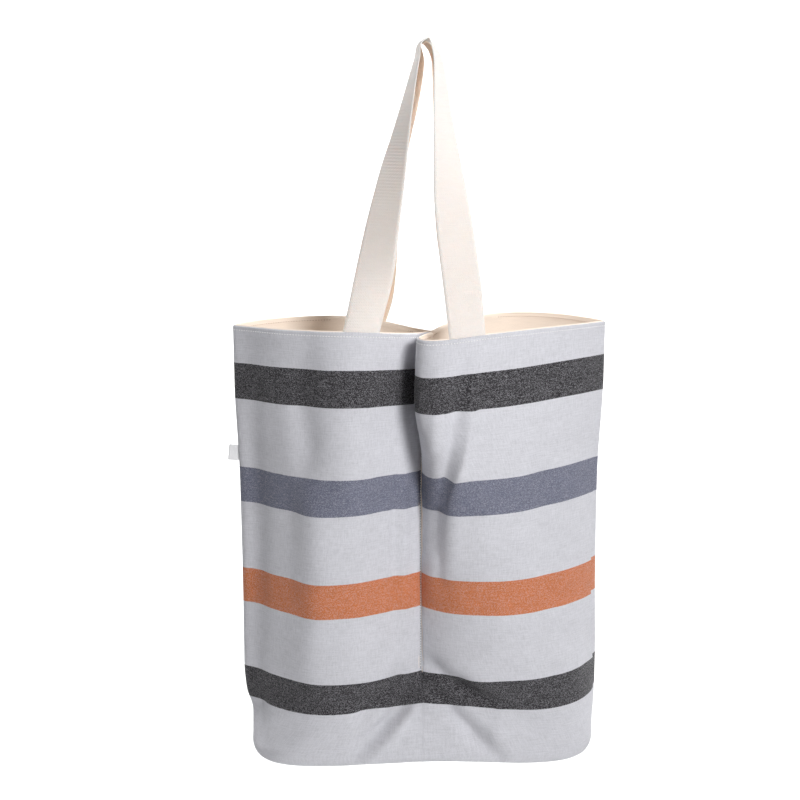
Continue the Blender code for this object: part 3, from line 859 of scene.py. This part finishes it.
def make_strap(name, face, node):
    left = strap_leg(face, 0)
    right = strap_leg(face, 1)
    rows = left + right[-2::-1]
    along = [0.0]
    half = STRAP_COLUMNS // 2
    for before, after in zip(rows, rows[1:]):
        along.append(along[-1] + (after[half] - before[half]).length)
    mesh, uv, spot = grid_on_rows(rows, top=-1)
    wide = STRAP_COLUMNS - 1
    for polygon in mesh.faces:
        for loop in polygon.loops:
            c, r = spot[loop.vert]
            loop[uv].uv = (WEBBING_WIDTH * (c / wide - 0.5), along[r])
    mesh.verts.index_update()
    edges = [vert.index for vert in mesh.verts if spot[vert][0] in (0, wide)]
    strap = show(mesh, name, [node])
    group = strap.vertex_groups.new(name="body")
    group.add(list(range(len(strap.data.vertices))), 1.0, "REPLACE")
    group.add(edges, EDGE_SHARE, "REPLACE")
    give_thickness(strap, WEBBING_THICK, 0).modifiers["thickness"].vertex_group = "body"
    print(name, "length", round(along[-1], 3))
    return strap, along[-1]


front_strap, front_length = make_strap("front_webbing", -1, "front_handle")
back_strap, back_length = make_strap("back_webbing", 1, "back_handle")

# %% [markdown]
# ## The side tab
#
# A small white ribbon is folded in half and caught in the left side seam, 134 mm below
# the rim. It is a strip that runs out, turns round its fold and comes back. A thin block
# would look the same from afar, but not its open end and its slight curl.

# %% Side tab
TAB_OUT = 11 * MM
TAB_HEIGHT = 16.5 * MM
TAB_DOWN = 134 * MM
TAB_FOLD = 0.45 * MM  # half the distance between its two layers
seam_row = min(range(len(downs)), key=lambda n: abs(downs[n] - TAB_DOWN))
seam_spot = front_form[seam_row][0]
mesh = bmesh.new()
tab_uv = mesh.loops.layers.uv.new("Cloth")
bmesh.ops.create_grid(mesh, x_segments=36, y_segments=12, size=1)
for polygon in mesh.faces:
    for loop in polygon.loops:
        loop[tab_uv].uv = (loop.vert.co.x * TAB_OUT, loop.vert.co.y * TAB_HEIGHT / 2)
for vert in mesh.verts:
    s, t = vert.co.x, vert.co.y
    run = abs(s) * TAB_OUT
    y = TAB_FOLD * math.copysign(min(1.0, (run / (1.2 * MM)) ** 0.5), s) if s else 0.0
    vert.co = (seam_spot.x - TAB_OUT + run + 0.8 * MM, y, seam_spot.z + t * TAB_HEIGHT / 2)
    vert.co.y += 0.25 * MM * math.sin(t * 2 + run * 300)
turn = Matrix.Rotation(math.radians(6), 3, "Y")
bmesh.ops.rotate(mesh, verts=mesh.verts, cent=seam_spot, matrix=turn)
tab = show(mesh, "folded_tab", ["side_label"])
give_thickness(tab, 0.35 * MM, 0)
print("tab on row", seam_row, "at height", round(seam_spot.z, 3))

# %% [markdown]
# ## Sewing the bag
#
# White topstitching runs round the rim, and its underside shows on the lining as a row of
# tan stitches. Their tan is partly the thread and partly painted shade of the stitch holes.
# The white stitches of the middle seam lie in its groove, so they are raised more.

# %% Stitches of the rim, the middle seam and the lining
THREAD = 1.0 * MM
RIM_PITCH = 3.0 * MM
SEAM_PITCH = 2.9 * MM
SEAM_START = 5 * MM
LINING_BACK = 3.35 * MM  # how far inside the form the lining's stitches lie
rim_at = downs.index(STITCH_DOWN)
middle_column = len(columns) // 2
walls = (
    ("front", front_form, front_out, "front_panel"),
    ("back", back_form, back_out, "back_panel"),
)
for wall, points, outward, slot in walls:
    spots = walk(points[rim_at], outward[rim_at], RIM_PITCH, RIM_PITCH / 2)
    sew(wall + "_topstitch", spots, 2.2 * MM, THREAD)

seam_rows = [r for r in range(len(downs)) if SEAM_START < downs[r] < SEAM_END]
for wall, points, outward, slot in walls:
    line = [points[r][middle_column] for r in seam_rows]
    spots = walk(line, [outward[r][middle_column] for r in seam_rows], SEAM_PITCH)
    sew(wall + "_seam_stitches", spots, 2.1 * MM, THREAD, 0.8 * MM)

for wall, points, outward, slot in walls:
    line = [p - o * LINING_BACK for p, o in zip(points[rim_at], outward[rim_at])]
    spots = walk(line, [-o for o in outward[rim_at]], RIM_PITCH)
    sew("lining_" + wall + "_stitches", spots, 1.9 * MM, 0.5 * MM)

# %% [markdown]
# ## Finishes
#
# All the cloth here is matt cotton, so the roughness is high and a little sheen stands for
# the fibres. An image of cloth would repeat and blur close up. Here nodes work out the
# threads from the UV map, which is in metres, so every thread has its real width.

# %% Node helpers
def new_material(name, roughness, sheen):
    material = bpy.data.materials.new(name)
    material.use_nodes = True
    tree = material.node_tree
    shader = tree.nodes["Principled BSDF"]
    shader.inputs["Roughness"].default_value = roughness
    shader.inputs["Specular IOR Level"].default_value = 0.2
    shader.inputs["Sheen Weight"].default_value = sheen
    shader.inputs["Sheen Roughness"].default_value = 0.5
    return material, tree, shader


def put(tree, kind, inputs=None, **settings):
    """Adds a node, sets it up, and links or fills its inputs."""
    node = tree.nodes.new(kind)
    for key, value in settings.items():
        setattr(node, key, value)
    for key, value in (inputs or {}).items():
        if isinstance(value, bpy.types.NodeSocket):
            tree.links.new(value, node.inputs[key])
        else:
            node.inputs[key].default_value = value
    return node


def maths(tree, operation, first, second=0.0, third=0.0):
    inputs = {0: first, 1: second, 2: third}
    return put(tree, "ShaderNodeMath", inputs, operation=operation).outputs[0]


def times(tree, colour, bright):
    """A colour times a brightness."""
    spread = put(tree, "ShaderNodeCombineXYZ", {0: bright, 1: bright, 2: bright})
    inputs = {0: 1.0, 6: colour, 7: spread.outputs[0]}
    mix = put(tree, "ShaderNodeMix", inputs, data_type="RGBA", blend_type="MULTIPLY")
    return mix.outputs[2]


def towards(tree, colour, goal, share):
    """A colour, mixed towards another by a share."""
    inputs = {0: share, 6: colour, 7: goal}
    return put(tree, "ShaderNodeMix", inputs, data_type="RGBA").outputs[2]


def cloth_map(tree):
    """Distances across and down the cloth, in metres."""
    cloth = put(tree, "ShaderNodeUVMap", uv_map="Cloth").outputs[0]
    split = put(tree, "ShaderNodeSeparateXYZ", {0: cloth})
    return split.outputs[0], split.outputs[1]


# %% Threads from nodes
def streaks(tree, across, down, wide, tall, detail=2.0, seed=0.0):
    """Noise whose grains are this wide and this tall, from about 0 to 1."""
    x, y = maths(tree, "DIVIDE", across, wide), maths(tree, "DIVIDE", down, tall)
    place = put(tree, "ShaderNodeCombineXYZ", {0: x, 1: y, 2: seed})
    inputs = {"Vector": place.outputs[0], "Scale": 1.0, "Detail": detail}
    return put(tree, "ShaderNodeTexNoise", inputs).outputs["Fac"]


def crossings(tree, across, down, wide, tall):
    """A value of its own for each crossing of threads, from 0 to 1."""
    wave = maths(tree, "MULTIPLY", streaks(tree, across, down, 7 * MM, 5 * MM), 2.5)
    across = maths(tree, "FLOOR", maths(tree, "MULTIPLY_ADD", across, 1 / wide, wave))
    down = maths(tree, "FLOOR", maths(tree, "MULTIPLY_ADD", down, 1 / tall, wave))
    cell = put(tree, "ShaderNodeCombineXYZ", {0: across, 1: down})
    return put(tree, "ShaderNodeTexWhiteNoise", {"Vector": cell.outputs[0]}).outputs["Value"]


def weave(tree, across, down, pitch):
    """The height of a plain weave: threads over and under each other."""
    warp = maths(tree, "SINE", maths(tree, "MULTIPLY", across, math.pi / pitch))
    weft = maths(tree, "SINE", maths(tree, "MULTIPLY", down, math.pi / pitch))
    return maths(tree, "MULTIPLY", warp, weft)


def bump(tree, shader, height, distance):
    inputs = {"Height": height, "Distance": distance, "Strength": 1.0}
    node = put(tree, "ShaderNodeBump", inputs)
    tree.links.new(node.outputs[0], shader.inputs["Normal"])


def linear(red, green, blue):
    """A colour for a node, from the 0 to 255 values of a screen."""
    return tuple(((v / 255 + 0.055) / 1.055) ** 2.4 for v in (red, green, blue)) + (1.0,)


# %% [markdown]
# ## Striped canvas
#
# A stripe is a band of other weft threads. A colour ramp with hard steps lays the bands,
# and a little noise frays their edges. In the bands the light warp shows as flecks, one
# for each crossing of threads. A dark line of painted shade lies where the cloth dips into
# the middle seam. The stripes of the back start 4 mm higher, as the right seam shows.

# %% Stripes
RAMP_LENGTH = 0.6
SEAM_SHADE_HALF = 0.8 * MM  # half the width of the painted line of shade at the middle seam
GREY = linear(206, 206, 212)
BLACK = linear(44, 42, 45)
SLATE = linear(106, 109, 127)
ORANGE = linear(198, 116, 72)
FLECK = linear(214, 213, 219)
# SHADE is the colour of the painted shade along the middle seam.
SHADE = linear(40, 38, 44)
BANDS = ((37.5, BLACK), (147.5, SLATE), (257.5, ORANGE), (367.5, BLACK))
BAND_WIDTH = 35.5


def stripes(tree, across, down, shift):
    fray = maths(tree, "SUBTRACT", streaks(tree, across, down, 0.9 * MM, 3 * MM), 0.5)
    edge = maths(tree, "MULTIPLY", fray, 0.9 * MM)
    place = maths(tree, "ADD", maths(tree, "SUBTRACT", down, shift), edge)
    ramp = put(tree, "ShaderNodeValToRGB", {0: maths(tree, "DIVIDE", place, RAMP_LENGTH)})
    steps = ramp.color_ramp.elements
    ramp.color_ramp.interpolation = "CONSTANT"
    steps[0].color = GREY
    for start, colour in BANDS:
        steps.new(start * MM / RAMP_LENGTH).color = colour
        steps.new((start + BAND_WIDTH) * MM / RAMP_LENGTH).color = GREY
    steps.remove(steps[-1])
    return ramp.outputs[0]


# %% Canvas
def canvas(name, shift=0.0):
    material, tree, shader = new_material(name, 0.92, 0.15)
    across, down = cloth_map(tree)
    bands = stripes(tree, across, down, shift)
    speckle = crossings(tree, across, down, 0.62 * MM, 0.5 * MM)
    warp = streaks(tree, across, down, 1.3 * MM, 9 * MM, 2.0, 5.0)
    weft = streaks(tree, across, down, 14 * MM, 1.2 * MM, 3.0, 9.0)
    cloud = streaks(tree, across, down, 30 * MM, 22 * MM, 2.0, 1.0)
    tone = maths(tree, "MULTIPLY", speckle, 0.10)
    for streak, weight in ((warp, 0.35), (weft, 0.35), (cloud, 0.15)):
        tone = maths(tree, "MULTIPLY_ADD", streak, weight, tone)
    tone = maths(tree, "SUBTRACT", tone, 0.48)
    bright = maths(tree, "MULTIPLY_ADD", tone, 0.9, 1.0)
    cloth = times(tree, bands, bright)
    most = maths(tree, "MULTIPLY_ADD", weft, 0.6, -0.01)
    light = put(tree, "ShaderNodeMapRange", {0: speckle, 1: 0.45, 2: 1.0, 3: 0.0, 4: most})
    cloth = towards(tree, cloth, FLECK, light.outputs[0])
    # Painted shade: a thin dark line down the middle seam, from the rim to the seam's end.
    beside = maths(tree, "LESS_THAN", maths(tree, "ABSOLUTE", across), SEAM_SHADE_HALF)
    above = maths(tree, "LESS_THAN", down, SEAM_END)
    sewn = maths(tree, "MULTIPLY", maths(tree, "MULTIPLY", beside, above), 0.45)
    cloth = towards(tree, cloth, SHADE, sewn)
    tree.links.new(cloth, shader.inputs["Base Color"])
    threads = maths(tree, "MULTIPLY", weave(tree, across, down, 0.55 * MM), 0.5)
    height = maths(tree, "MULTIPLY_ADD", tone, 1.2, threads)
    bump(tree, shader, height, 0.16 * MM)
    return material


front_cloth.data.materials.append(canvas("striped_canvas_front"))
back_cloth.data.materials.append(canvas("striped_canvas_back", -SEAM_STEP))

# %% [markdown]
# ## Plain cotton and thread
#
# Lining, webbing and tab are one plain cotton in four tones, with more or less grain. The
# back webbing is the same cotton as the front, and its warmer tan tone is painted shade:
# the warm shade on its inner faces. The webbing has ribs across it, and a little light
# passes through it and softens its shade.

# %% Lining cotton, webbing and tab
def plain_cotton(name, colour, pitch, strength, ribs=None):
    material, tree, shader = new_material(name, 0.95, 0.1)
    across, down = cloth_map(tree)
    grain = streaks(tree, across, down, 1.0 * MM, 1.4 * MM, 3.0)
    slub = streaks(tree, across, down, 18 * MM, 0.8 * MM, 2.0, 4.0)
    tone = maths(tree, "MULTIPLY_ADD", slub, strength, maths(tree, "MULTIPLY", grain, strength))
    bright = maths(tree, "ADD", 1.0 - strength, tone)
    tree.links.new(times(tree, colour, bright), shader.inputs["Base Color"])
    height = maths(tree, "ADD", weave(tree, across, down, pitch), tone)
    if ribs:
        rib = maths(tree, "SINE", maths(tree, "MULTIPLY", down, 2 * math.pi / ribs))
        height = maths(tree, "ADD", maths(tree, "MULTIPLY", rib, 0.6), height)
    bump(tree, shader, height, 0.12 * MM)
    return material


lining.data.materials.append(plain_cotton("lining_cotton", linear(248, 234, 220), 0.5 * MM, 0.14))
for strap, name, colour in (
    (front_strap, "webbing_cotton", linear(230, 225, 221)),
    # The back webbing's warmer tan is painted shade on the same cotton as the front.
    (back_strap, "webbing_cotton_back_shaded", linear(238, 220, 205)),
):
    webbing = plain_cotton(name, colour, 1.2 * MM, 0.06, ribs=3.2 * MM)
    soft = webbing.node_tree.nodes["Principled BSDF"].inputs
    soft["Subsurface Weight"].default_value = 0.6
    soft["Subsurface Radius"].default_value = (1.0, 0.8, 0.7)
    soft["Subsurface Scale"].default_value = 3 * MM
    strap.data.materials.append(webbing)
tab.data.materials.append(plain_cotton("tab_ribbon", linear(248, 248, 250), 0.35 * MM, 0.05))
print("cloth materials:", sorted(material.name for material in bpy.data.materials))


# %% Thread
def thread(name, colour):
    material, tree, shader = new_material(name, 0.6, 0.1)
    place = put(tree, "ShaderNodeTexCoord").outputs["Object"]
    inputs = {"Vector": place, "Scale": 2500.0, "Detail": 2.0}
    twist = put(tree, "ShaderNodeTexNoise", inputs).outputs["Fac"]
    ramp = put(tree, "ShaderNodeValToRGB", {0: twist})
    ramp.color_ramp.elements[0].color = tuple(v * 0.8 for v in colour[:3]) + (1.0,)
    ramp.color_ramp.elements[1].color = colour
    tree.links.new(ramp.outputs[0], shader.inputs["Base Color"])
    bump(tree, shader, twist, 0.1 * MM)
    return material


white_thread = thread("white_thread", linear(250, 250, 250))
# Partly painted shade: the tan of the lining's stitches also stands for the shade in their holes.
tan_thread_and_shade = thread("tan_thread_and_shade", linear(176, 140, 118))
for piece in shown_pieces():
    if "topstitch" in piece.name or "seam_stitches" in piece.name:
        piece.data.materials.append(white_thread)
    if piece.name.startswith("lining_"):
        piece.data.materials.append(tan_thread_and_shade)

# %% [markdown]
# ## The cloth along the rim
#
# The length of the front cloth along the rim, from one side seam to the other, is
# worked out and printed.

# %% Measuring the cloth along the rim
rim_lengths = arc_lengths(front_form[0])
print("cloth along the rim:", round(rim_lengths[-1] - rim_lengths[0], 3))

# %% [markdown]
# ## Floor and light
#
# This is a plain white studio: a pale floor runs into a pale backdrop in one soft curve.
# One lamp of 60 cm stands about 20 degrees to the right and a little above. A larger one
# would be softer, but the folds would all but vanish. Two lamps behind it light the
# backdrop.

# %% Floor and backdrop
FLOOR_DROP = 1.15
FLOOR_HALF = 6
FLOOR_NEAR, FLOOR_FAR, FLOOR_RUN = -3.4, 1.2, 4.6
FLOOR_BEND = 1.6


def make_studio():
    mesh = bmesh.new()
    bmesh.ops.create_grid(mesh, x_segments=2, y_segments=60, size=1)
    for vert in mesh.verts:
        run = (vert.co.y + 1) * 4.0
        y, z = FLOOR_NEAR + run, 0.0
        if run > FLOOR_RUN:
            past = run - FLOOR_RUN
            turn = min(past / FLOOR_BEND, math.pi / 2)
            y = FLOOR_FAR + FLOOR_BEND * math.sin(turn)
            z = FLOOR_BEND * (1 - math.cos(turn)) + max(past - FLOOR_BEND * math.pi / 2, 0) * 2
        vert.co = (vert.co.x * FLOOR_HALF, y, z - FLOOR_DROP)
    data = bpy.data.meshes.new("studio_floor")
    mesh.to_mesh(data)
    mesh.free()
    data.shade_smooth()
    floor = bpy.data.objects.new("studio_floor", data)
    bpy.context.scene.collection.objects.link(floor)
    material = bpy.data.materials.new("pale_floor")
    material.use_nodes = True
    shader = material.node_tree.nodes["Principled BSDF"]
    shader.inputs["Base Color"].default_value = (0.9, 0.9, 0.9, 1)
    shader.inputs["Roughness"].default_value = 0.9
    data.materials.append(material)


# %% Lamps
def soft_light(name, place, target, size, power):
    data = bpy.data.lights.new(name, "AREA")
    data.shape = "DISK"
    data.size = size
    data.energy = power
    lamp = bpy.data.objects.new(name, data)
    lamp.location = place
    lamp.rotation_euler = (Vector(target) - Vector(place)).to_track_quat("-Z", "Y").to_euler()
    bpy.context.scene.collection.objects.link(lamp)


make_studio()
middle = (0, 0, -0.45)
soft_light("key", (0.57, -1.46, 0.36), middle, 0.6, 27.5)
for side in (-1.4, 1.4):
    soft_light("backdrop", (side, 1.0, 1.2), (side * 0.3, 2.6, -0.7), 1.2, 70)
world = bpy.data.worlds.new("studio")
world.use_nodes = True
world.node_tree.nodes["Background"].inputs[0].default_value = (1, 1, 1, 1)
world.node_tree.nodes["Background"].inputs[1].default_value = 0.02
bpy.context.scene.world = world
bpy.context.scene.view_settings.view_transform = "Standard"
print("lamps:", len(bpy.data.lights))
